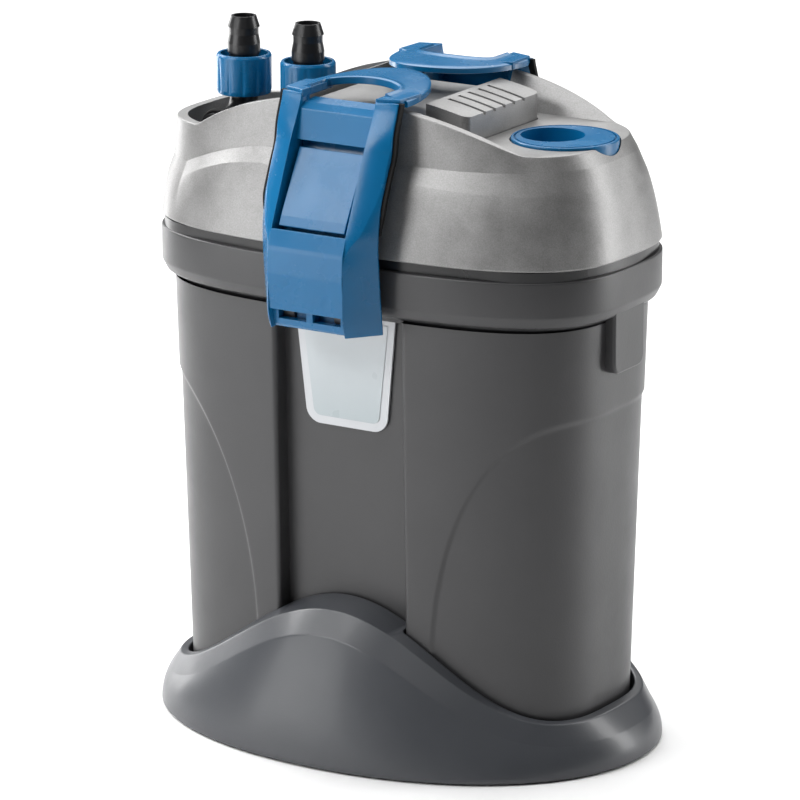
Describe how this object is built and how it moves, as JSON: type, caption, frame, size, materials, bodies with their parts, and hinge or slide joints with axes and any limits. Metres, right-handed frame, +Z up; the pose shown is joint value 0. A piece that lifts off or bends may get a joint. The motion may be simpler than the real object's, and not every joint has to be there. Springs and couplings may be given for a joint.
{
  "type": "canister filter",
  "caption": "External canister filter for an aquarium: oval canister on a stand, pump head with hose unions, hinged latches, priming button and lift-out cap.",
  "frame": {"origin": "middle of the underside, on the surface that the filter stands on", "axes": "+Z up, -Y towards the label and the front latch, -X towards the hose connectors, +X towards the heater well cap"},
  "size_m": [0.29, 0.212, 0.378],
  "materials": {
    "stand_plastic": "satin",
    "canister_plastic": "satin",
    "head_plastic": "satin metallic",
    "black_plastic": "satin",
    "blue_plastic": "gloss",
    "label_border": "gloss",
    "label_face": "satin",
    "rubber": "matte",
    "steel": "brushed",
    "resin": "matte",
    "ceramic": "matte",
    "magnet": "satin",
    "white_plastic": "satin",
    "basket_plastic": "satin",
    "blue_foam": "open cell foam",
    "black_foam": "fine foam"
  },
  "bodies": {
    "filter": {"base_stand": "stand_plastic", "rubber_feet": "rubber", "canister": "canister_plastic", "label_plate": "label_border", "label_inlay": "label_face", "rim_gasket": "rubber", "head_chassis": "black_plastic", "head_cover": "head_plastic", "cover_screws": "steel", "cable_gland": "black_plastic", "priming_cylinder": "black_plastic", "priming_spring": "steel", "heater_well": "black_plastic", "connector_block": "black_plastic", "elbow_seals": "rubber", "motor_block": "resin", "rotor_shaft": "ceramic", "shaft_bushes": "rubber", "pump_volute": "black_plastic", "volute_cover": "black_plastic", "coarse_foam": "blue_foam", "fine_foam": "black_foam", "bio_media": "ceramic", "top_screen": "basket_plastic", "intake_riser": "basket_plastic", "lower_basket": "basket_plastic", "middle_basket": "basket_plastic", "upper_basket": "basket_plastic", "inlet_elbow": "black_plastic", "inlet_hose_tail": "black_plastic", "outlet_elbow": "black_plastic", "outlet_hose_tail": "black_plastic"},
    "front_latch": {"front_latch_frame": "blue_plastic", "front_latch_plate": "blue_plastic", "front_latch_pin": "steel"},
    "rear_latch": {"rear_latch_frame": "blue_plastic", "rear_latch_plate": "blue_plastic", "rear_latch_pin": "steel"},
    "primer": {"priming_button": "head_plastic", "priming_piston": "black_plastic", "piston_seal": "rubber"},
    "heater_cap": {"heater_well_cap": "blue_plastic", "cap_seal": "rubber"},
    "inlet_nut": {"inlet_union_nut": "blue_plastic"},
    "outlet_nut": {"outlet_union_nut": "blue_plastic"},
    "rotor": {"rotor_magnet": "magnet", "impeller": "white_plastic"}
  },
  "joints": [
    {"name": "front_latch_hinge", "type": "hinge", "parent": "filter", "child": "front_latch", "pos_m": [0, -0.09, 0.246], "axis": [1, 0, 0], "range_deg": [0, 100]},
    {"name": "rear_latch_hinge", "type": "hinge", "parent": "filter", "child": "rear_latch", "pos_m": [0, 0.09, 0.246], "axis": [-1, 0, 0], "range_deg": [0, 100]},
    {"name": "primer_slide", "type": "slide", "parent": "filter", "child": "primer", "axis": [0, 0, -1], "range_m": [0, 0.008], "stiffness_N_per_m": 250, "springref_m": -0.012, "deforming": ["priming_spring"]},
    {"name": "heater_cap_lift", "type": "slide", "parent": "filter", "child": "heater_cap", "axis": [0, 0, 1], "range_m": [0, 0.05]},
    {"name": "inlet_nut_turn", "type": "hinge", "parent": "filter", "child": "inlet_nut", "pos_m": [-0.105, 0, 0.345], "axis": [0, 0, 1], "continuous": true},
    {"name": "outlet_nut_turn", "type": "hinge", "parent": "filter", "child": "outlet_nut", "pos_m": [-0.064, 0, 0.345], "axis": [0, 0, 1], "continuous": true},
    {"name": "impeller_spin", "type": "hinge", "parent": "filter", "child": "rotor", "pos_m": [-0.045, 0, 0.27], "axis": [0, 0, 1], "continuous": true}
  ]
}
